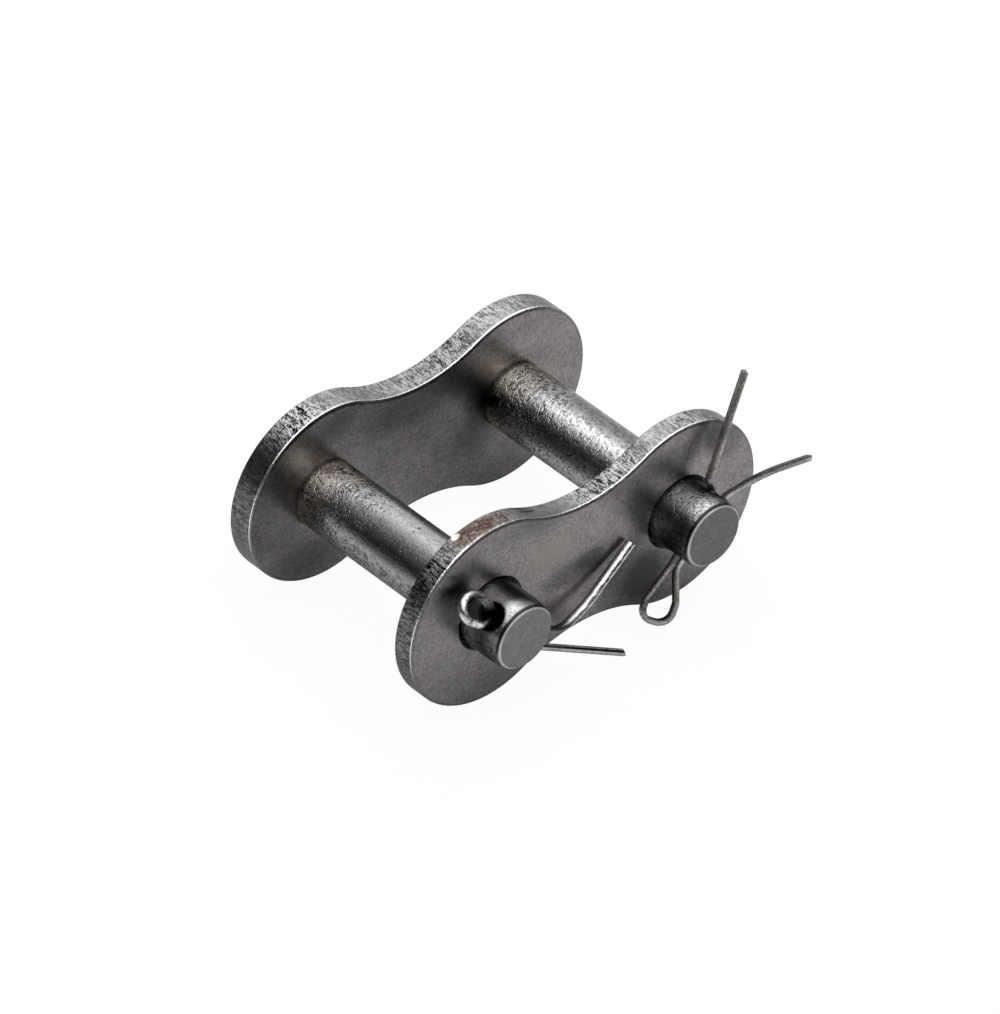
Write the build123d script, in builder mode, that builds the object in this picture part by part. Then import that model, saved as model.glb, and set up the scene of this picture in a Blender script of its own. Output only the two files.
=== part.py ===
from build123d import *
import os
from dataclasses import dataclass
from math import cos, hypot, radians, sin

# Cottered connecting link for a roller chain, in millimetres.
#
# Two pins are riveted into a back plate. A cover plate slips over their free ends, and a split
# cotter through each pin keeps it on. The chain's pitch runs along X, the pins lie along Y with
# their cottered ends at -Y, and the plates stand on edge with their height along Z. The origin
# is on the left pin's axis, half way between the plates.

# Chain size
pitch = 31.75
gap_between_plates = 27.9
pin_diameter = 9.53

# Link plates: the two are blanked by different dies
back_plate_height = 25.85
back_waist_height = 18.5
back_lobe_inset = 0.6        # each rounded end is struck from a little inside its pin's axis
back_plate_thickness = 3.85
cover_plate_height = 26.5
cover_waist_height = 18.9
cover_lobe_inset = 0.2
cover_plate_thickness = 3.15
pin_line_height = 0.2        # the pins' axes lie this far above the middle of the plates' height
rolled_edge = 0.45           # rounding left by the blanking die, on the face the punch enters
burr_edge = 0.15             # rounding left by tumbling, on the other face
cover_hole_clearance = 0.2   # radial slip fit of the cover plate on the pins
cover_hole_lead_in = 0.35

# Pins
pin_reach = 6.5              # from the cover plate's outer face to the pin's free end
crown_length = 2.8           # the free end curves in over this length
crown_drop = 0.32            # and loses this much of its radius
pin_end_chamfer = 0.3
rivet_head_height = 1.2
rivet_head_spread = 0.45     # how far the head stands out beyond the shank, radially
rivet_head_round = 0.6
cotter_station = 3.5         # from the cover plate's outer face to the cross hole's axis
cotter_hole_slope = 46.0     # of the cross holes, which fall away from each other
cotter_hole_countersink = 0.5

# Cotters: half-round wire, folded flat to flat
wire_width = 1.48
wire_depth = 0.8
strand_gap = 0.05
leg_spread = 1.05            # from the cross hole's axis to each leg where it leaves the hole
cotter_hole_clearance = 0.15
mouth_clearance = 0.14       # the legs stay straight to just outside the pin
eye_end_straight = 0.05      # left between the two bends at the far end of an eye
snip_slope = 1.1             # a slantwise cut end drops this much for each length along the leg

pin_radius = pin_diameter / 2
inner_face = gap_between_plates / 2
back_face = inner_face + back_plate_thickness
cover_face = inner_face + cover_plate_thickness
pin_end = cover_face + pin_reach
strand_offset = (wire_depth + strand_gap) / 2
cotter_hole_radius = cotter_hole_clearance + max(
    leg_spread + wire_depth / 2,
    hypot(leg_spread - wire_depth / 2, wire_width / 2),
)
OUTWARD = Vector(0, -1, 0)   # along a pin, from the cover plate towards the free end


@dataclass
class Cotter:
    """How one cotter sits in its pin, and how its eye and legs were bent.

    The eye's end is given from its mouth of the hole as (away from the pin, along the split,
    out of the wire's own plane). A leg's points are (X, Y, Z) from where it leaves the hole.
    """
    pin_x: float
    hole_angle: float        # way the legs leave the pin, from +X towards +Z
    twist: float             # turn of the split about the hole's axis, from across to outward
    neck: tuple              # where the eye's strands part: away from the pin, along the split
    eye_end: tuple
    near_shoulder: tuple     # back from the eye's end, and out from its middle
    far_shoulder: tuple
    shoulder_bend: float
    neck_bend: float
    near_leg: list           # the leg on the outward side of the split
    near_bends: tuple
    far_leg: list            # the leg on the plate's side of the split
    far_bends: tuple
    snipped: bool = False    # the near leg's end is cut off aslant


right = Cotter(
    pin_x=pitch, hole_angle=cotter_hole_slope, twist=40,
    neck=(1.2, 0.3), eye_end=(8.3, 2.1, 0.0),
    near_shoulder=(3.0, 1.9), far_shoulder=(2.4, 2.1), shoulder_bend=1.6, neck_bend=3.0,
    near_leg=[(5.05, -1.3, 1.85), (11.6, -2.8, 2.05)], near_bends=(2.0, 18.0),
    far_leg=[(-0.4, 0.55, 1.0), (6.05, 1.75, 14.4)], far_bends=(0.8, 1.0),
)
left = Cotter(
    pin_x=0.0, hole_angle=-cotter_hole_slope, twist=30,
    neck=(-0.8, -0.3), eye_end=(4.1, -0.1, -1.82),
    near_shoulder=(3.4, 1.85), far_shoulder=(3.4, 2.05), shoulder_bend=1.1, neck_bend=0.7,
    near_leg=[(15.25, -1.5, -8.08)], near_bends=(2.5,),
    far_leg=[(5.9, 0.65, -3.3), (10.6, 1.3, -2.0), (18.4, 2.05, 3.3)],
    far_bends=(2.5, 4.5, 9.0),
    snipped=True,
)


def plate_outline(height, waist_height, lobe_inset):
    """Two round lobes joined by a waist, every arc tangent to the next."""
    lobe_radius = height / 2
    waist = waist_height / 2
    reach = pitch / 2 - lobe_inset
    waist_radius = (reach**2 + waist**2 - lobe_radius**2) / (2 * (lobe_radius - waist))
    share = lobe_radius / (lobe_radius + waist_radius)
    touch_x = reach * (1 - share)
    touch_z = (waist + waist_radius) * share
    middle = pitch / 2
    end = reach + lobe_radius
    base = -pin_line_height
    corners = [(middle + side * touch_x, base + level * touch_z)
               for side, level in ((1, -1), (1, 1), (-1, 1), (-1, -1))]
    crowns = [(middle + end, base), (middle, base + waist),
              (middle - end, base), (middle, base - waist)]
    for number, crown in enumerate(crowns):
        ThreePointArc(corners[number], crown, corners[(number + 1) % len(corners)])


def link_plate(start, thickness, outline, hole_radius, rolled_face, lead_in=0.0):
    """A blanked plate whose +Y face lies at y = start.

    outline is its height, its waist's height and its lobes' inset. rolled_face is -1 where the
    face towards the pins' free ends carries the die's rounding, and 1 where the other face does.
    lead_in eases the two holes on the -Y face.
    """
    with BuildPart() as plate:
        with BuildSketch(Plane.XZ.offset(-start)):
            with BuildLine():
                plate_outline(*outline)
            make_face()
            with Locations((0, 0), (pitch, 0)):
                Circle(hole_radius, mode=Mode.SUBTRACT)
        extrude(amount=thickness)
        if lead_in:
            front = plate.faces().filter_by(Plane.XZ).sort_by(Axis.Y)[0]
            chamfer([hole.edges()[0] for hole in front.inner_wires()], lead_in)
        for side, radius in ((rolled_face, rolled_edge), (-rolled_face, burr_edge)):
            face = plate.faces().filter_by(Plane.XZ).sort_by(Axis.Y)[-1 if side > 0 else 0]
            fillet(face.outer_wire().edges(), radius)
    return plate.part


def pin(pin_x, hole_angle):
    """A riveted pin, cross drilled and countersunk for its cotter near the free end."""
    axis = Axis((pin_x, 0, 0), (0, 1, 0))
    head_radius = pin_radius + rivet_head_spread
    head_end = back_face + rivet_head_height
    crown_start = crown_length - pin_end
    crown_end = pin_end_chamfer - pin_end
    crown_radius = pin_radius - crown_drop
    with BuildPart() as shank:
        with BuildSketch(Plane(origin=(pin_x, 0, 0))):
            with BuildLine():
                TangentArc((pin_radius, crown_start), (crown_radius, crown_end), tangent=(0, -1))
                Polyline(
                    (crown_radius, crown_end),
                    (crown_radius - pin_end_chamfer, -pin_end),
                    (0, -pin_end),
                    (0, head_end),
                    (head_radius, head_end),
                    (head_radius, back_face),
                    (pin_radius, back_face),
                    (pin_radius, crown_start),
                )
            make_face()
        revolve(axis=axis)
        rims = shank.edges().filter_by(GeomType.CIRCLE).sort_by(Axis.Y)
        fillet(rims[-1], rivet_head_round)

        along = Vector(cos(radians(hole_angle)), 0, sin(radians(hole_angle)))
        hole_centre = Vector(pin_x, -cover_face - cotter_station, 0)
        flare = pin_radius - cotter_hole_countersink   # the 45 degree countersinks start here
        cut_end = pin_diameter
        rim = cotter_hole_radius + cut_end - flare
        with BuildSketch(Plane(origin=hole_centre, x_dir=OUTWARD, z_dir=OUTWARD.cross(along))):
            with BuildLine():
                Polyline(
                    (0, -cut_end),
                    (rim, -cut_end),
                    (cotter_hole_radius, -flare),
                    (cotter_hole_radius, flare),
                    (rim, cut_end),
                    (0, cut_end),
                    close=True,
                )
            make_face()
        revolve(axis=Axis(hole_centre, along), mode=Mode.SUBTRACT)
    return shank.part


def split_cotter(shape):
    """A folded half-round wire: two strands that meet at the far end of the eye."""
    angle = radians(shape.hole_angle)
    turn = radians(shape.twist)
    along = Vector(cos(angle), 0, sin(angle))
    across = Vector(sin(angle), 0, -cos(angle))
    split = across * cos(turn) + OUTWARD * sin(turn)
    aside = split.cross(along)
    centre = Vector(shape.pin_x, -cover_face - cotter_station, 0)
    mouth_distance = pin_radius + mouth_clearance
    entry = centre - along * mouth_distance
    exit_ = centre + along * mouth_distance

    away, drift, lean = shape.eye_end
    eye_end = entry - along * away + split * drift + aside * lean
    away, drift = shape.neck
    neck = entry - along * away + split * drift
    eye_axis = (eye_end - neck).normalized()
    eye_normal = eye_axis.cross(split).normalized()
    eye_side = eye_normal.cross(eye_axis)
    strands = (
        (1, shape.near_shoulder, shape.near_leg, shape.near_bends),
        (-1, shape.far_shoulder, shape.far_leg, shape.far_bends),
    )
    with BuildPart() as wire:
        for side, (back, out), leg, leg_bends in strands:
            half = eye_side * (side * out)
            mouth = exit_ + split * (side * leg_spread)
            end_bend = min(out, back - shape.shoulder_bend / 2) - eye_end_straight
            with BuildLine() as route:
                FilletPolyline(
                    eye_end,
                    eye_end + half,
                    eye_end - eye_axis * back + half,
                    neck + split * (side * strand_offset),
                    mouth,
                    *[mouth + Vector(*point) for point in leg],
                    radius=(end_bend, shape.shoulder_bend, shape.neck_bend, *leg_bends),
                )
            with BuildSketch(Plane(origin=eye_end, x_dir=eye_normal, z_dir=eye_side * side)):
                with BuildLine():
                    flat = -side * wire_depth / 2   # the flat side faces into the eye
                    Line((-wire_width / 2, flat), (wire_width / 2, flat))
                    ThreePointArc((-wire_width / 2, flat), (0, -flat), (wire_width / 2, flat))
                make_face()
            sweep(path=route.wire())
        if shape.snipped:
            leg = Vector(*shape.near_leg[-1])
            run = leg.normalized()
            rise = (Vector(0, 0, 1) - run * run.Z).normalized()
            tip = exit_ + split * leg_spread + leg
            with Locations(Plane(origin=tip, z_dir=run + rise * snip_slope)):
                Box(*[2 * wire_width] * 3, align=(Align.CENTER, Align.CENTER, Align.MIN),
                    mode=Mode.SUBTRACT)
    return wire.part


parts = {
    "back_plate": link_plate(back_face, back_plate_thickness,
                             (back_plate_height, back_waist_height, back_lobe_inset),
                             pin_radius, rolled_face=-1),
    "cover_plate": link_plate(-inner_face, cover_plate_thickness,
                              (cover_plate_height, cover_waist_height, cover_lobe_inset),
                              pin_radius + cover_hole_clearance, rolled_face=-1,
                              lead_in=cover_hole_lead_in),
    "left_pin": pin(left.pin_x, left.hole_angle),
    "right_pin": pin(right.pin_x, right.hole_angle),
    "left_cotter": split_cotter(left),
    "right_cotter": split_cotter(right),
}

os.makedirs("parts", exist_ok=True)
for name, piece in parts.items():
    piece.label = name
    export_step(piece, f"parts/{name}.step")
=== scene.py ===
from math import cos, radians, sin

import bpy
from mathutils import Matrix, Vector


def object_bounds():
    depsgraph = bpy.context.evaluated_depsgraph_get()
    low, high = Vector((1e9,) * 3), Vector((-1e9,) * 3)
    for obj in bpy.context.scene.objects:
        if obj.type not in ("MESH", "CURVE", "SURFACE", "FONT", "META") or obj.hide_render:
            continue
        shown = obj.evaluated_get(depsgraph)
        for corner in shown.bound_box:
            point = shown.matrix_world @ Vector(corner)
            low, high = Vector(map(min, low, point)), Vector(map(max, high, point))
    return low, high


# The dressed connecting link: steel finishes on its six solids, a white floor, soft studio light.
# +X runs along the pitch, +Y along the pins towards the back plate, and +Z is up.

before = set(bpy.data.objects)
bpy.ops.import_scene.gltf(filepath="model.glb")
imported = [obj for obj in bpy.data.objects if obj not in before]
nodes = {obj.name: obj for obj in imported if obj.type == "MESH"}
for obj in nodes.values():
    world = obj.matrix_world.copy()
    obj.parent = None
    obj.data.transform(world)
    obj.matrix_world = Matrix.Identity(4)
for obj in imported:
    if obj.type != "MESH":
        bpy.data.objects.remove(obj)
cad_low, cad_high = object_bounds()
scene = bpy.context.scene

# Where things lie on the link, in millimetres.
MM = 0.001
PITCH = 31.75
BACK_FACE = 13.9             # the back plate's face, seen between the pins
BACK_RIM = 16.0              # about half way through the back plate
COVER_FACE = -17.1           # the cover plate's outer face
COVER_RIM = -15.5            # about half way through the cover plate
HOLE_Y = -20.6               # the cross holes' axes
PIN_END = -23.6              # the pins' free ends
SHANK = -3.0                 # the middle of the pins' open length
FACE_DEPTH = 1.5             # how deep a patch painted on a face reaches


# ---------------------------------------------------------------- shader building blocks

def connect(tree, socket, value):
    """Feeds a socket from another one, or sets it to a plain value."""
    if isinstance(value, bpy.types.NodeSocket):
        tree.links.new(value, socket)
    else:
        socket.default_value = value


def add(tree, kind, inputs=None, **settings):
    """Adds a node, sets its properties and then feeds its inputs."""
    node = tree.nodes.new(kind)
    for key, value in settings.items():
        setattr(node, key, value)
    for key, value in (inputs or {}).items():
        connect(tree, node.inputs[key], value)
    return node


def calc(tree, operation, a, b=0.0, c=0.0):
    return add(tree, "ShaderNodeMath", {0: a, 1: b, 2: c}, operation=operation).outputs[0]


def product(tree, first, *others):
    for other in others:
        first = calc(tree, "MULTIPLY", first, other)
    return first


def per(tree, size):
    """How many times a size goes into a millimetre."""
    return calc(tree, "DIVIDE", 1.0, size)


def signed(tree, value, amount):
    """value, which lies round a half, as a swing either side of nothing."""
    return product(tree, calc(tree, "SUBTRACT", value, 0.5), amount)


def vector_calc(tree, operation, a, b):
    return add(tree, "ShaderNodeVectorMath", {0: a, 1: b}, operation=operation).outputs["Vector"]


def length(tree, vector):
    return add(tree, "ShaderNodeVectorMath", {0: vector}, operation="LENGTH").outputs["Value"]


def scaled(tree, vector, factor):
    return add(tree, "ShaderNodeVectorMath", {0: vector, "Scale": factor},
               operation="SCALE").outputs["Vector"]


def facing(tree, vector, direction):
    """How far a vector points along a direction."""
    return add(tree, "ShaderNodeVectorMath", {0: vector, 1: direction},
               operation="DOT_PRODUCT").outputs["Value"]


def along_pins(tree, vector):
    return add(tree, "ShaderNodeSeparateXYZ", {0: vector}).outputs["Y"]


def ramp(tree, value, low, high, to_low=0.0, to_high=1.0):
    """A smooth step of value, from to_low at low to to_high at high."""
    return add(tree, "ShaderNodeMapRange",
               {"Value": value, "From Min": low, "From Max": high,
                "To Min": to_low, "To Max": to_high},
               interpolation_type="SMOOTHSTEP").outputs["Result"]


def blend_colour(tree, share, a, b):
    return add(tree, "ShaderNodeMix", {0: share, 6: a, 7: b}, data_type="RGBA").outputs[2]


def blend_value(tree, share, a, b):
    return add(tree, "ShaderNodeMix", {0: share, 2: a, 3: b}, data_type="FLOAT").outputs[0]


def noise(tree, vector, scale, detail=2.0, roughness=0.5, distortion=0.0):
    return add(tree, "ShaderNodeTexNoise",
               {"Vector": vector, "Scale": scale, "Detail": detail, "Roughness": roughness,
                "Distortion": distortion}).outputs["Fac"]


def bump(tree, height, distance_mm, strength=1.0, normal=None):
    inputs = {"Height": height, "Distance": distance_mm * MM, "Strength": strength}
    if normal is not None:
        inputs["Normal"] = normal
    return add(tree, "ShaderNodeBump", inputs).outputs["Normal"]


def effect(name, inputs, outputs):
    """A node group that several finishes share, with its two ends.

    inputs holds each input's default, or None for a vector. The outputs are all values.
    """
    group = bpy.data.node_groups.new(name, "ShaderNodeTree")
    for label, default in inputs.items():
        kind = "NodeSocketVector" if default is None else "NodeSocketFloat"
        socket = group.interface.new_socket(label, in_out="INPUT", socket_type=kind)
        if default is not None:
            socket.default_value = default
    for label in outputs:
        group.interface.new_socket(label, in_out="OUTPUT", socket_type="NodeSocketFloat")
    given = group.nodes.new("NodeGroupInput").outputs
    result = group.nodes.new("NodeGroupOutput").inputs
    return group, given, result


def use(tree, group, inputs):
    """What a shared effect gives for these inputs."""
    return add(tree, "ShaderNodeGroup", inputs, node_tree=group).outputs


# ---------------------------------------------------------------- shared effects

def tumbled_grain():
    """The mottle and fine grain that tumbling leaves on steel, as a tone about 1."""
    group, given, result = effect(
        "Tumbled grain",
        {"Place": None, "Cloud size": 3.0, "Grain size": 0.25, "Cloud": 0.25, "Grain": 0.2},
        ("Tone", "Height"))
    cloud = noise(group, given["Place"], per(group, given["Cloud size"]), 3.0)
    grain = noise(group, given["Place"], per(group, given["Grain size"]), 2.0, 0.6)
    swing = calc(group, "ADD", signed(group, cloud, given["Cloud"]),
                 signed(group, grain, given["Grain"]))
    group.links.new(calc(group, "ADD", swing, 1.0), result["Tone"])
    group.links.new(grain, result["Height"])
    return group


def pitting():
    """Small dark pits, gathered in patches."""
    group, given, result = effect(
        "Pitting", {"Place": None, "Pit size": 0.8, "Patch size": 4.0, "Amount": 0.5},
        ("Pits", "Height"))
    patch = noise(group, given["Place"], per(group, given["Patch size"]), 1.0)
    speck = noise(group, given["Place"], per(group, given["Pit size"]), 1.5, 0.5, 0.8)
    # More of the specks count as pits where the patch is strong.
    level = calc(group, "SUBTRACT", 0.86, product(group, given["Amount"], 0.3))
    level = calc(group, "SUBTRACT", level, signed(group, patch, 0.45))
    over = calc(group, "SUBTRACT", speck, level)
    group.links.new(ramp(group, over, 0.0, 0.07), result["Pits"])
    group.links.new(ramp(group, over, -0.05, 0.09, 1.0, 0.0), result["Height"])
    return group


def edge_wear():
    """Rounded edges and walls, told from the broad faces by the normal's share along Y."""
    group, given, result = effect(
        "Edge wear", {"Normal": None, "Low": 0.12, "High": 0.56}, ("Edge", "Wall", "Line"))
    along = calc(group, "ABSOLUTE", along_pins(group, given["Normal"]))
    up = ramp(group, along, given["Low"], calc(group, "ADD", given["Low"], 0.2))
    down = ramp(group, along, calc(group, "SUBTRACT", given["High"], 0.15), given["High"],
                1.0, 0.0)
    group.links.new(product(group, up, down), result["Edge"])
    group.links.new(ramp(group, along, 0.45, 0.95, 1.0, 0.0), result["Wall"])
    beside = product(group, ramp(group, along, 0.76, 0.86),
                     ramp(group, along, 0.99, 0.999, 1.0, 0.0))
    group.links.new(beside, result["Line"])
    return group


def shear_marks():
    """Fine tears that blanking leaves across a rim, mixed with the grain of the broken steel."""
    group, given, result = effect(
        "Shear marks", {"Place": None, "Width": 0.36, "Stretch": 0.3, "Depth": 0.5},
        ("Tone", "Height"))
    scale = add(group, "ShaderNodeCombineXYZ",
                {"X": 1.0, "Y": given["Stretch"], "Z": 1.0}).outputs[0]
    place = vector_calc(group, "MULTIPLY", given["Place"], scale)
    size = per(group, given["Width"])
    tear = noise(group, place, size, 2.0, 0.6, 0.6)
    crumb = noise(group, given["Place"], product(group, size, 1.25), 2.0, 0.6)
    broken = calc(group, "MULTIPLY_ADD", tear, 0.6, product(group, crumb, 0.4))
    swing = signed(group, ramp(group, broken, 0.4, 0.6), product(group, given["Depth"], 1.7))
    group.links.new(calc(group, "ADD", swing, 1.0), result["Tone"])
    group.links.new(product(group, broken, given["Depth"]), result["Height"])
    return group


def speckling():
    """Dark specks scattered thickly over worn steel, as a tone up to 1."""
    group, given, result = effect(
        "Speckling", {"Place": None, "Speck size": 0.5, "Depth": 0.5}, ("Tone", "Height"))
    speck = noise(group, given["Place"], per(group, given["Speck size"]), 2.5, 0.65)
    high = ramp(group, speck, 0.38, 0.53)
    lost = product(group, calc(group, "SUBTRACT", 1.0, high), given["Depth"])
    group.links.new(calc(group, "SUBTRACT", 1.0, lost), result["Tone"])
    group.links.new(product(group, high, given["Depth"]), result["Height"])
    return group


def spot():
    """A soft ragged patch round a point, for rust, a stain, rough steel, painted shade and
    painted highlights.
    """
    group, given, result = effect(
        "Spot", {"Place": None, "Centre": None, "Size": None, "Ragged": 0.5}, ("Mask",))
    offset = vector_calc(group, "SUBTRACT", given["Place"], given["Centre"])
    distance = length(group, vector_calc(group, "DIVIDE", offset, given["Size"]))
    edge = signed(group, noise(group, given["Place"], 1.3, 3.0, 0.65), given["Ragged"])
    share = calc(group, "ADD", distance, edge)
    group.links.new(ramp(group, share, 0.3, 1.0, 1.0, 0.0), result["Mask"])
    return group


TUMBLED = tumbled_grain()
PITTING = pitting()
EDGE = edge_wear()
SHEAR = shear_marks()
SPOT = spot()
SPECKLING = speckling()


# ---------------------------------------------------------------- colours and patches

def steel(level, warmth=0.0, pink=0.0):
    """A grey of that level, warmed a little, or with less green."""
    return (level * (1 + warmth + pink), level * (1 - pink), level * (1 - warmth + pink), 1.0)


RUST = (0.085, 0.05, 0.041, 1.0)
RUST_SHADE = (0.125, 0.105, 0.1, 1.0)
CREAM = (0.8, 0.72, 0.66, 1.0)
# The two darkest colours serve for pits and scratches, and also as painted shade.
DARK = (0.03, 0.028, 0.027, 1.0)
NEAR_BLACK = (0.008, 0.008, 0.008, 1.0)
OLIVE = (0.66, 0.62, 0.55, 1.0)
UMBER = (0.16, 0.13, 0.11, 1.0)
TAN = (0.2, 0.13, 0.09, 1.0)
PALE = (0.25, 0.235, 0.223, 1.0)
# A light grey for a painted highlight along the right pin.
PAINTED_HIGHLIGHT = (0.78, 0.76, 0.79, 1.0)


def toned(tree, colour, tone):
    """colour made lighter or darker by a tone about 1."""
    if isinstance(colour, tuple):
        colour = colour[:3]
    return scaled(tree, colour, tone)


def spot_mask(tree, place, centre, size, ragged=0.5):
    return use(tree, SPOT, {"Place": place, "Centre": centre, "Size": size,
                            "Ragged": ragged})["Mask"]


def patched(tree, colour, place, patches):
    """colour with soft patches over it: centre, size, colour, strength, ragged."""
    for centre, size, shade, strength, ragged in patches:
        mask = product(tree, spot_mask(tree, place, centre, size, ragged), strength)
        colour = blend_colour(tree, mask, colour, shade)
    return colour


def on_face(face, x, z, width, height, colour, strength, ragged=0.3):
    """A patch on a plate's face, where face says how far along Y that lies."""
    return (x, face, z), (width, FACE_DEPTH, height), colour, strength, ragged


# ---------------------------------------------------------------- finishes

def start(name):
    """A new metal, with where a point of the object is in millimetres, and its normal."""
    material = bpy.data.materials.new(name)
    material.use_nodes = True
    tree = material.node_tree
    shader = tree.nodes["Principled BSDF"]
    shader.inputs["Metallic"].default_value = 1.0
    own = add(tree, "ShaderNodeTexCoord").outputs
    return material, tree, shader, scaled(tree, own["Object"], 1 / MM), own["Normal"]


def away(tree, place, pin_x):
    """1 on the plate, 0 on the edge of the hole that the pin at pin_x fills.

    The circle lies a little high, so the hole's lower edge keeps some of its worn line, painted
    bright as a highlight where it faces up.
    """
    offset = vector_calc(tree, "SUBTRACT", place, (pin_x, 0.0, 0.2))
    offset = vector_calc(tree, "MULTIPLY", offset, (1.0, 0.0, 1.0))
    return ramp(tree, length(tree, offset), 5.3, 5.5)


def plate_face(tree, place, level, tone):
    """Dark steel, warmer here and pinker there, with a few brown specks."""
    tint = ramp(tree, noise(tree, place, 0.2, 2.0), 0.4, 0.6)
    face = blend_colour(tree, tint, steel(level, 0.03, 0.012), steel(level, 0.012, 0.02))
    fleck = ramp(tree, noise(tree, place, 0.9, 2.0), 0.45, 0.65, 0.0, 0.6)
    face = blend_colour(tree, fleck, face, steel(level, 0.045, 0.006))
    face = toned(tree, face, tone)
    speck = ramp(tree, noise(tree, place, 1.6, 2.0, 0.5), 0.66, 0.72, 0.0, 0.55)
    return blend_colour(tree, speck, face, UMBER)


def plate_rim(tree, place, across, level, torn):
    """The torn rim, with painted shade on the walls that face left: its colour and its relief."""
    depth = ramp(tree, noise(tree, place, 0.22, 1.0), 0.35, 0.65, 0.45, 0.85)
    for centre, size in torn:
        depth = calc(tree, "ADD", depth,
                     product(tree, spot_mask(tree, place, centre, size), 0.45))
    shear = use(tree, SHEAR, {"Place": place, "Depth": depth})
    rim = toned(tree, steel(level, 0.0, 0.014), shear["Tone"])
    return toned(tree, rim, ramp(tree, across, -0.75, -0.4, 0.5, 1.0)), shear["Height"]


def edges_worn_and_painted(tree, normal, across, edge, outside, colour):
    """The rounded edge, worn, with a painted highlight along the top and painted shade elsewhere,
    less deep where it faces left, and a dark line beside it.
    """
    top = ramp(tree, facing(tree, normal, (-0.45, 0.0, 0.9)), 0.0, 0.55)
    dull = toned(tree, (1.0, 0.99, 0.98), ramp(tree, across, -0.9, -0.3, 0.22, 0.06))
    rounded = blend_colour(tree, top, dull, steel(0.8, 0.01))
    colour = blend_colour(tree, product(tree, edge["Edge"], outside), colour, rounded)
    line = product(tree, edge["Line"], outside, ramp(tree, top, 0.0, 1.0, 0.25, 0.85))
    return blend_colour(tree, line, colour, DARK)


def plate_finish(name, face_level, rim_level, torn, stains_and_shade, rusty=(), flecks=()):
    """torn lists where the rim is roughest, and rusty where it has rusted: centre and size.

    flecks are patches that lie over the rust.
    """
    material, tree, shader, place, normal = start(name)
    grain = use(tree, TUMBLED, {"Place": place, "Cloud size": 4.0, "Grain size": 0.32,
                                "Cloud": 0.6, "Grain": 1.6})
    edge = use(tree, EDGE, {"Normal": normal})
    across = facing(tree, normal, (1, 0, 0))
    face = plate_face(tree, place, face_level, grain["Tone"])
    rim, tears = plate_rim(tree, place, across, rim_level, torn)
    colour = blend_colour(tree, edge["Wall"], face, rim)
    # The pins' holes have plain edges.
    outside = product(tree, away(tree, place, 0.0), away(tree, place, PITCH))
    colour = edges_worn_and_painted(tree, normal, across, edge, outside, colour)
    colour = blend_colour(tree, outside, face, colour)
    # The edge on the far side is darker all round.
    rear = facing(tree, normal, (0, 1, 0))
    rear = product(tree, ramp(tree, rear, 0.15, 0.4), ramp(tree, rear, 0.85, 0.97, 1.0, 0.0))
    colour = blend_colour(tree, rear, colour, DARK)
    rough = blend_value(tree, edge["Wall"], 0.31, 0.3)
    rough = blend_value(tree, edge["Edge"], rough, 0.25)
    colour = patched(tree, colour, place, stains_and_shade)
    crumbs = ramp(tree, noise(tree, place, 2.2, 3.0, 0.6), 0.42, 0.54)
    for centre, size in rusty:
        mask = product(tree, spot_mask(tree, place, centre, size, 0.8), crumbs)
        colour = blend_colour(tree, mask, colour, RUST)
        rough = blend_value(tree, mask, rough, 0.6)
    colour = patched(tree, colour, place, flecks)
    tree.links.new(colour, shader.inputs["Base Color"])
    tree.links.new(rough, shader.inputs["Roughness"])
    shader.inputs["Specular Tint"].default_value = (0.65, 0.65, 0.65, 1.0)
    relief = bump(tree, grain["Height"], 0.02, 0.6)
    relief = bump(tree, product(tree, tears, edge["Wall"]), 0.15, 1.0, relief)
    tree.links.new(relief, shader.inputs["Normal"])
    return material


def pin_end(tree, normal, along, edge, colour):
    """The chamfer round a pin's end, painted lighter below and painted in shade along its top,
    with a dark line of painted shade above it on the top side.
    """
    top = ramp(tree, facing(tree, normal, (-0.35, 0.0, 0.94)), 0.1, 0.45)
    ring = ramp(tree, along, PIN_END + 0.17, PIN_END + 0.25)
    outer = blend_colour(tree, top, steel(0.3), DARK)
    chamfer = blend_colour(tree, ring, steel(0.52), outer)
    colour = blend_colour(tree, edge["Edge"], colour, chamfer)
    line = product(tree, ring, ramp(tree, along, PIN_END + 0.5, PIN_END + 0.7, 1.0, 0.0), top)
    return blend_colour(tree, line, colour, DARK)


def cross_hole(tree, place, pin_x, slope, colour):
    """Painted shade, near black, inside the cross hole and round its mouth."""
    offset = vector_calc(tree, "SUBTRACT", place, (pin_x, HOLE_Y, 0.0))
    axis = (cos(slope), 0.0, sin(slope))
    from_axis = length(tree, vector_calc(tree, "CROSS_PRODUCT", offset, axis))
    return blend_colour(tree, ramp(tree, from_axis, 1.8, 2.2, 1.0, 0.0), colour, NEAR_BLACK)


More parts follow.
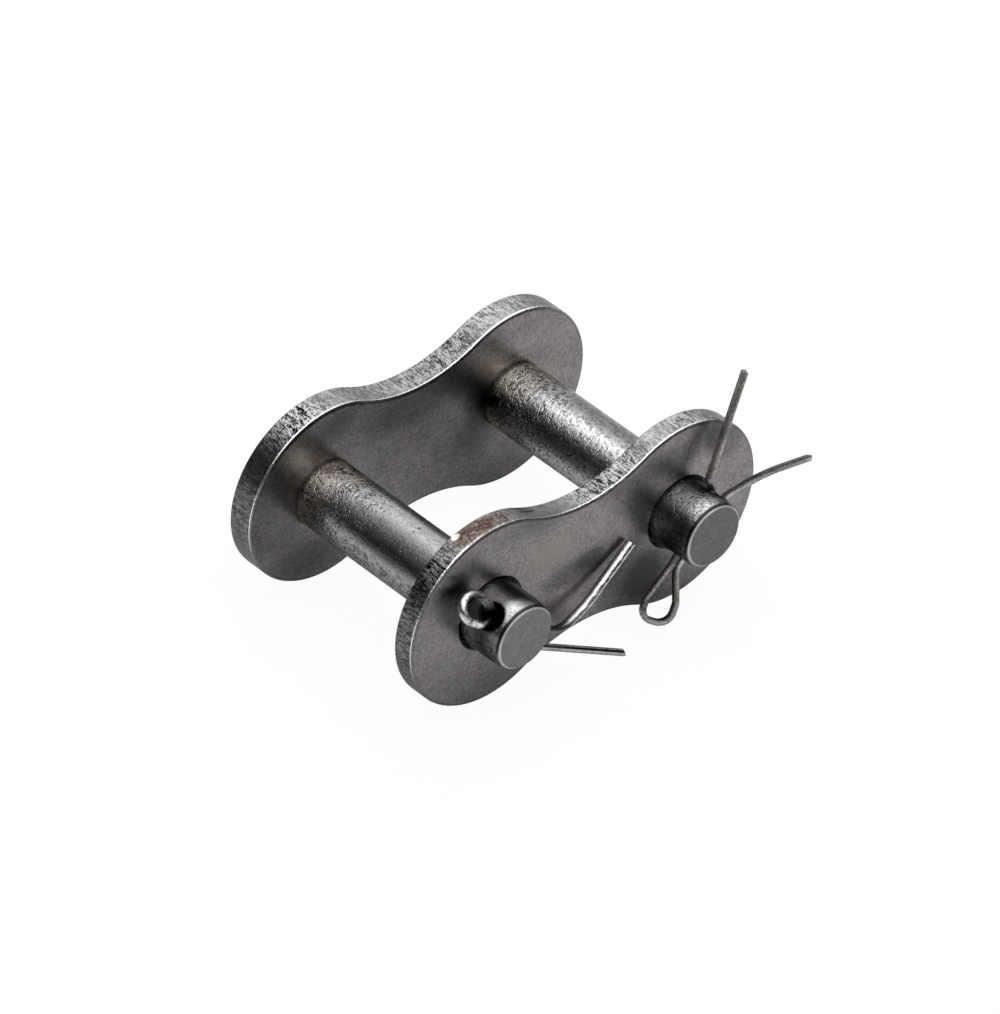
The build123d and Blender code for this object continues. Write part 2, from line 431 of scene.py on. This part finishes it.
def pin_finish(name, pin_x, hole_slope, end_level, specked, wear_and_painted_light, stains_and_shade):
    """specked is how deep the dark specks are at the free end and at the root.

    The first list, painted highlights and shade, lies under the specks and the second, stain
    marks and painted shade, over them: centre, size, colour, strength, ragged.
    """
    material, tree, shader, place, normal = start(name)
    drawn = add(tree, "ShaderNodeMapping", {"Vector": place, "Scale": (1.0, 0.6, 1.0)})
    grain = use(tree, TUMBLED, {"Place": drawn.outputs["Vector"], "Cloud size": 1.3,
                                "Grain size": 0.3, "Cloud": 0.6, "Grain": 1.0})
    edge = use(tree, EDGE, {"Normal": normal, "Low": 0.45, "High": 0.95})
    along = along_pins(tree, place)
    # The rivet heads, beyond the back plate, are plainer.
    open_part = ramp(tree, along, 15.0, 17.5, 1.0, 0.0)
    ragged = signed(tree, noise(tree, place, 0.5, 2.0), 5.0)
    root = product(tree, ramp(tree, calc(tree, "ADD", along, ragged), 7.0, 13.0), open_part)
    shank = toned(tree, steel(0.29, 0.0, 0.014), grain["Tone"])
    shank = blend_colour(tree, root, shank, toned(tree, OLIVE, grain["Tone"]))
    # Painted highlights and painted shade, in bands along the shank and in patches near the ends.
    shank = patched(tree, shank, place, wear_and_painted_light)
    # The specks deepen towards the root, and the underside is speckled all along.
    under = ramp(tree, facing(tree, normal, (0.5, 0.0, 1.0)), -0.5, -0.1, 0.75, 0.0)
    deep = calc(tree, "MAXIMUM", ramp(tree, along, -8.0, 9.0, *specked), under)
    specks = use(tree, SPECKLING, {"Place": place, "Depth": deep})
    shank = toned(tree, shank, specks["Tone"])
    amount = product(tree, ramp(tree, along, -2.0, 9.0, 0.45, 0.98), open_part)
    pits = use(tree, PITTING, {"Place": place, "Pit size": 0.45, "Patch size": 2.5,
                               "Amount": amount})
    shank = blend_colour(tree, product(tree, pits["Pits"], 0.75), shank, DARK)
    end = toned(tree, steel(end_level, 0.01, 0.01), grain["Tone"])
    colour = blend_colour(tree, edge["Wall"], end, shank)
    colour = pin_end(tree, normal, along, edge, colour)
    # The pin is darker in the corner where it leaves the back plate.
    corner = product(tree, ramp(tree, along, 13.2, 13.8, 0.0, 0.75),
                     ramp(tree, along, 17.6, 18.1, 1.0, 0.0))
    colour = blend_colour(tree, corner, colour, DARK)
    colour = patched(tree, colour, place, stains_and_shade)
    colour = cross_hole(tree, place, pin_x, radians(hole_slope), colour)
    tree.links.new(colour, shader.inputs["Base Color"])
    rough = blend_value(tree, edge["Wall"], 0.45, blend_value(tree, root, 0.27, 0.4))
    rough = blend_value(tree, edge["Edge"], rough, 0.55)
    tree.links.new(rough, shader.inputs["Roughness"])
    shader.inputs["Specular Tint"].default_value = (0.8, 0.8, 0.8, 1.0)
    relief = bump(tree, grain["Height"], 0.03, 0.9)
    relief = bump(tree, specks["Height"], 0.04, 0.8, relief)
    relief = bump(tree, pits["Height"], 0.04, 0.9, relief)
    tree.links.new(relief, shader.inputs["Normal"])
    return material


def dull_wire(name):
    """Wire that has gone grey, a little warmer here and mauve there."""
    material, tree, shader, place, _ = start(name)
    grain = use(tree, TUMBLED, {"Place": place, "Cloud size": 1.2, "Grain size": 0.3,
                                "Cloud": 1.2, "Grain": 1.7})
    mauve = ramp(tree, noise(tree, place, 0.5, 2.0), 0.4, 0.6)
    wire = blend_colour(tree, mauve, steel(0.4, 0.04, -0.01), steel(0.36, 0.0, 0.03))
    # The long leg is lighter at its foot, the short leg and the eye duller than the rest.
    wire = patched(tree, wire, place, [
        ((36.2, -19.8, 7.0), (3.0, 4.0, 4.8), steel(0.62, 0.05, -0.01), 0.8, 0.5),
        ((43.5, -22.5, 5.5), (8.5, 4.0, 4.0), steel(0.2, 0.0, 0.02), 0.85, 0.6),
        ((27.0, -21.5, -8.0), (6.0, 4.0, 5.5), steel(0.24, 0.06, -0.01), 0.85, 0.6)])
    tree.links.new(toned(tree, wire, grain["Tone"]), shader.inputs["Base Color"])
    shader.inputs["Roughness"].default_value = 0.33
    shader.inputs["Specular Tint"].default_value = (0.3, 0.3, 0.3, 1.0)
    tree.links.new(bump(tree, grain["Height"], 0.04, 0.8), shader.inputs["Normal"])
    return material


def bright_wire(name):
    """Bright wire, with a broken dark line of painted shade down one leg and a black line of
    painted shade along the other.
    """
    material, tree, shader, place, normal = start(name)
    grain = use(tree, TUMBLED, {"Place": place, "Cloud size": 0.9, "Grain size": 0.3,
                                "Cloud": 0.9, "Grain": 1.4})
    specks = use(tree, SPECKLING, {"Place": place, "Speck size": 0.45, "Depth": 0.5})
    # The eye and the strands in the pin are speckled, and the legs beyond are clean.
    x = facing(tree, place, (1, 0, 0))
    legs = ramp(tree, x, 3.0, 7.0)
    colour = blend_colour(tree, legs, toned(tree, steel(0.62, 0.01), specks["Tone"]),
                          steel(0.62, 0.02))
    colour = toned(tree, colour, grain["Tone"])
    # The upper leg's dark line is painted shade down its side, and noise breaks it.
    side = facing(tree, normal, (0.371, -0.822, -0.431))
    swing = signed(tree, noise(tree, place, 0.9, 2.0), 0.9)
    from_line = calc(tree, "ABSOLUTE",
                     calc(tree, "SUBTRACT", calc(tree, "ADD", side, swing), 0.25))
    line = ramp(tree, from_line, 0.1, 0.22, 1.0, 0.0)
    unbroken = ramp(tree, noise(tree, place, 1.1, 1.0), 0.42, 0.5)
    colour = blend_colour(tree, product(tree, line, unbroken, legs), colour, steel(0.15))
    # The lower leg bends forward of the other, and its black line is painted shade along its
    # flat.
    forward = ramp(tree, facing(tree, place, (0.098, 1.0, 0.0)), -20.5, -20.25, 1.0, 0.0)
    low_leg = product(tree, forward, ramp(tree, x, 3.0, 4.0))
    height = facing(tree, place, (0.4632, 0.478, 0.785))
    black = product(tree, ramp(tree, height, -12.2, -12.02),
                    ramp(tree, height, -11.84, -11.7, 1.0, 0.35))
    strip = blend_colour(tree, black, toned(tree, steel(0.5), grain["Tone"]), NEAR_BLACK)
    colour = blend_colour(tree, low_leg, colour, strip)
    # Painted shade in the left pin's cross hole and over the upper leg's foot.
    colour = patched(tree, colour, place, [
        ((-2.9, -20.6, 3.0), (2.6, 2.6, 2.6), NEAR_BLACK, 1.0, 0.2),
        ((8.0, -19.8, -5.2), (6.0, 3.0, 4.0), steel(0.13), 0.92, 0.5)])
    tree.links.new(colour, shader.inputs["Base Color"])
    shader.inputs["Roughness"].default_value = 0.3
    shader.inputs["Specular Tint"].default_value = (0.3, 0.3, 0.3, 1.0)
    tree.links.new(bump(tree, grain["Height"], 0.05, 0.9), shader.inputs["Normal"])
    return material


# ---------------------------------------------------------------- the pieces

def dress(node, material):
    """Gives a CAD node its finish."""
    mesh = nodes[node].data
    mesh.materials.clear()
    mesh.materials.append(material)


dress("back_plate", plate_finish(
    "Back plate steel", 0.197, 0.24,
    torn=[((23.0, BACK_RIM, 9.5), (6.0, 4.0, 4.0)), ((-3.5, BACK_RIM, 12.0), (4.5, 4.0, 3.0))],
    stains_and_shade=[
        # Painted shade round the right pin's root, a brown patch above it, and dark patches of
        # painted shade over the face.
        ((26.6, BACK_FACE, 1.2), (1.5, 1.0, 1.6), NEAR_BLACK, 0.95, 1.2),
        on_face(BACK_FACE, 26.5, 1.0, 4.5, 5.5, DARK, 0.6, 0.4),
        on_face(BACK_FACE, 27.0, 5.5, 3.5, 2.5, UMBER, 0.5, 0.6),
        on_face(BACK_FACE, 15.0, 6.5, 12.0, 4.5, DARK, 0.45),
        on_face(BACK_FACE, 1.0, 9.5, 5.0, 3.0, DARK, 0.35),
        on_face(BACK_FACE, -3.0, -9.0, 7.0, 4.0, DARK, 0.35),
        on_face(BACK_FACE, 25.5, -3.0, 6.0, 5.0, DARK, 0.45),
        # The rim is darker by the waist.
        ((19.5, 15.9, 10.0), (8.0, 3.5, 3.0), DARK, 0.3, 0.4)]))
dress("cover_plate", plate_finish(
    "Cover plate steel", 0.212, 0.235,
    torn=[((20.0, COVER_RIM, 9.3), (8.0, 4.0, 4.0)), ((-8.0, COVER_RIM, 9.0), (4.0, 4.0, 5.0))],
    stains_and_shade=[
        on_face(COVER_FACE, 10.0, 4.5, 6.0, 4.0, PALE, 0.6, 0.8),
        # Painted shadow of the bright cotter's upper leg on the face.
        on_face(COVER_FACE, 16.5, 0.3, 3.5, 2.2, DARK, 0.6),
        # The rim is darker by the waist, with two scratches across it.
        ((8.5, COVER_RIM, 11.0), (12.0, 3.5, 4.5), steel(0.1, 0.0, 0.01), 0.7, 0.3),
        ((6.6, -14.35, 10.5), (1.9, 0.35, 6.0), NEAR_BLACK, 0.9, 0.1),
        ((7.2, -15.1, 10.5), (2.0, 0.45, 6.0), NEAR_BLACK, 0.9, 0.1),
        # Painted shade round the pins, painted shadows behind the cotters' legs, and a darker
        # spot on the rim.
        on_face(COVER_FACE, -6.0, 7.5, 3.6, 2.6, DARK, 0.75),
        on_face(COVER_FACE, 26.0, -7.5, 6.0, 6.5, DARK, 0.85),
        on_face(COVER_FACE, 13.5, -0.5, 7.0, 2.4, DARK, 0.5),
        on_face(COVER_FACE, 29.0, 9.5, 5.0, 2.5, DARK, 0.3),
        on_face(COVER_FACE, 39.0, -8.0, 4.0, 3.5, DARK, 0.3),
        on_face(COVER_FACE, 37.2, 9.3, 2.6, 3.6, DARK, 0.65),
        on_face(COVER_FACE, 40.0, 7.0, 3.0, 4.0, DARK, 0.35),
        ((20.0, COVER_RIM, 9.2), (5.0, 3.0, 3.0), DARK, 0.3, 0.3),
        # The ground under the rust.
        ((-1.5, COVER_RIM, 12.8), (6.5, 2.2, 3.0), RUST_SHADE, 0.9, 0.5)],
    rusty=[((-3.0, -15.3, 12.4), (2.6, 1.9, 1.6)), ((-0.5, COVER_RIM, 12.9), (2.6, 2.0, 1.6)),
           ((2.2, COVER_RIM, 12.9), (2.2, 2.0, 1.6))],
    flecks=[((-4.0, -14.4, 12.3), (0.9, 0.6, 0.5), CREAM, 1.0, 1.0)]))
dress("left_pin", pin_finish(
    "Left pin steel", 0.0, -46.0, 0.175, specked=(0.1, 0.3),
    # Painted shade in bands along the shank and in patches near the root and the free end.
    wear_and_painted_light=[((-2.0, SHANK, 4.4), (1.6, 13.0, 1.6), steel(0.13), 0.6, 0.4),
          ((-4.6, 11.5, 0.5), (2.4, 4.0, 4.5), DARK, 0.75, 0.5),
          ((3.4, 11.5, 3.3), (2.0, 4.0, 2.6), DARK, 0.85, 0.5),
          ((1.2, -20.5, 4.9), (2.1, 5.0, 1.8), DARK, 0.85, 0.4),
          ((3.6, -20.5, 3.4), (2.0, 5.0, 2.4), DARK, 0.6, 0.3),
          ((-4.4, -21.5, -0.6), (2.6, 3.4, 4.6), DARK, 0.75, 0.4),
          ((-4.2, SHANK, 2.3), (1.3, 16.0, 1.6), DARK, 0.7, 0.2)],
    stains_and_shade=[((-0.6, 12.6, 4.8), (1.2, 1.2, 1.0), TAN, 0.7, 0.8)]))
dress("right_pin", pin_finish(
    "Right pin steel", PITCH, 46.0, 0.135, specked=(0.5, 0.45),
    # Painted highlights and painted shade in bands along the shank and in patches near the root
    # and the free end.
    wear_and_painted_light=[((29.4, SHANK, 4.2), (1.9, 16.0, 1.9), PAINTED_HIGHLIGHT, 0.85, 0.9),
          ((32.7, SHANK, 4.8), (1.6, 16.0, 1.3), steel(0.14), 0.8, 0.5),
          ((27.0, SHANK, -0.6), (1.6, 16.0, 1.9), steel(0.6), 0.7, 0.5),
          ((27.3, 12.0, 1.5), (2.6, 4.0, 3.4), DARK, 0.8, 0.8),
          ((34.0, -20.5, 3.8), (3.0, 5.0, 2.8), DARK, 0.85, 0.4),
          ((29.8, -19.4, 4.4), (1.7, 2.4, 1.6), steel(0.45), 0.8, 1.2),
          ((28.0, -22.5, 3.2), (1.7, 3.0, 2.2), DARK, 0.6, 0.6),
          ((27.2, -21.0, -0.8), (2.4, 4.5, 4.4), DARK, 0.8, 0.3)],
    # Painted shade where the pin leaves the back plate.
    stains_and_shade=[((27.3, 13.0, 1.8), (1.3, 1.6, 1.8), NEAR_BLACK, 0.95, 1.5)]))
dress("left_cotter", bright_wire("Bright cotter wire"))
dress("right_cotter", dull_wire("Dull cotter wire"))


# ---------------------------------------------------------------- floor, light and camera

WHITE = (1, 1, 1, 1)
FLOOR_HALF = 3.0             # half the floor's width, in metres
CAMERA_SHARE = 0.96          # how much of the floor is plain white to the camera
GLOSS_SHARE = 0.05           # and in reflections
FILL = 0.08                  # the light from all round

# The soft panels of light: which way they lie, the cosines where they are full and where they
# end, and their strength. One is overhead, and a smaller one is behind on the right.
PANELS = (
    ((0.0, -0.12, 1.0), 0.9, 0.62, 2.4),
    ((0.55, 0.57, 0.6), 0.93, 0.75, 1.5),
)

CAMERA_RIGHT = (0.742395, -0.669022, 0.035493)
CAMERA_UP = (0.393278, 0.478073, 0.785352)
CAMERA_DISTANCE = 1212.70


def white_paper():
    """Matt white paper that the camera sees as plain white, with a trace of shadow."""
    paper = bpy.data.materials.new("White paper")
    paper.use_nodes = True
    tree = paper.node_tree
    shader = tree.nodes["Principled BSDF"]
    shader.inputs["Base Color"].default_value = (0.78, 0.78, 0.78, 1.0)
    shader.inputs["Roughness"].default_value = 0.9
    shader.inputs["Specular IOR Level"].default_value = 0.0
    ray = add(tree, "ShaderNodeLightPath").outputs
    mirrored = calc(tree, "MAXIMUM", ray["Is Glossy Ray"], ray["Is Transmission Ray"])
    seen = calc(tree, "MAXIMUM", product(tree, ray["Is Camera Ray"], CAMERA_SHARE),
                product(tree, mirrored, GLOSS_SHARE))
    white = add(tree, "ShaderNodeEmission", {"Color": WHITE, "Strength": 1.0}).outputs[0]
    mixed = add(tree, "ShaderNodeMixShader", {0: seen, 1: shader.outputs[0], 2: white})
    tree.links.new(mixed.outputs[0], tree.nodes["Material Output"].inputs["Surface"])
    return paper


def build_floor(height):
    corners = ((-1, -1), (1, -1), (1, 1), (-1, 1))
    mesh = bpy.data.meshes.new("Floor")
    mesh.from_pydata([(x * FLOOR_HALF, y * FLOOR_HALF, height) for x, y in corners], [],
                     [(0, 1, 2, 3)])
    mesh.materials.append(white_paper())
    floor = bpy.data.objects.new("Floor", mesh)
    scene.collection.objects.link(floor)


def light_studio():
    """Soft panels in a dim surround, which the camera sees as plain white."""
    world = bpy.data.worlds.new("Studio")
    scene.world = world
    world.use_nodes = True
    tree = world.node_tree
    sky = tree.nodes["Background"]
    direction = add(tree, "ShaderNodeTexCoord").outputs["Generated"]
    level = FILL
    for centre, inner, outer, strength in PANELS:
        toward = facing(tree, direction, Vector(centre).normalized())
        level = calc(tree, "ADD", level, ramp(tree, toward, outer, inner, 0.0, strength))
    ray = add(tree, "ShaderNodeLightPath").outputs
    tree.links.new(blend_value(tree, ray["Is Camera Ray"], level, 1.0), sky.inputs["Strength"])
    sky.inputs["Color"].default_value = WHITE


def place_camera():
    right = Vector(CAMERA_RIGHT)
    back = right.cross(Vector(CAMERA_UP)).normalized()
    up = back.cross(right).normalized()
    right.normalize()
    target = Vector((PITCH / 2 * MM, 0, 0))
    data = bpy.data.cameras.new("Camera")
    camera = bpy.data.objects.new("Camera", data)
    scene.collection.objects.link(camera)
    turned = Matrix((right, up, back)).transposed().to_4x4()
    camera.matrix_world = Matrix.Translation(target + back * CAMERA_DISTANCE * MM) @ turned
    data.sensor_width = 36.0
    data.lens = 343.62
    data.shift_x = 0.0065
    data.shift_y = -0.01066
    data.clip_start = 0.01
    data.clip_end = 20.0
    scene.camera = camera


build_floor(cad_low[2])
light_studio()
place_camera()
scene.view_settings.view_transform = "Standard"
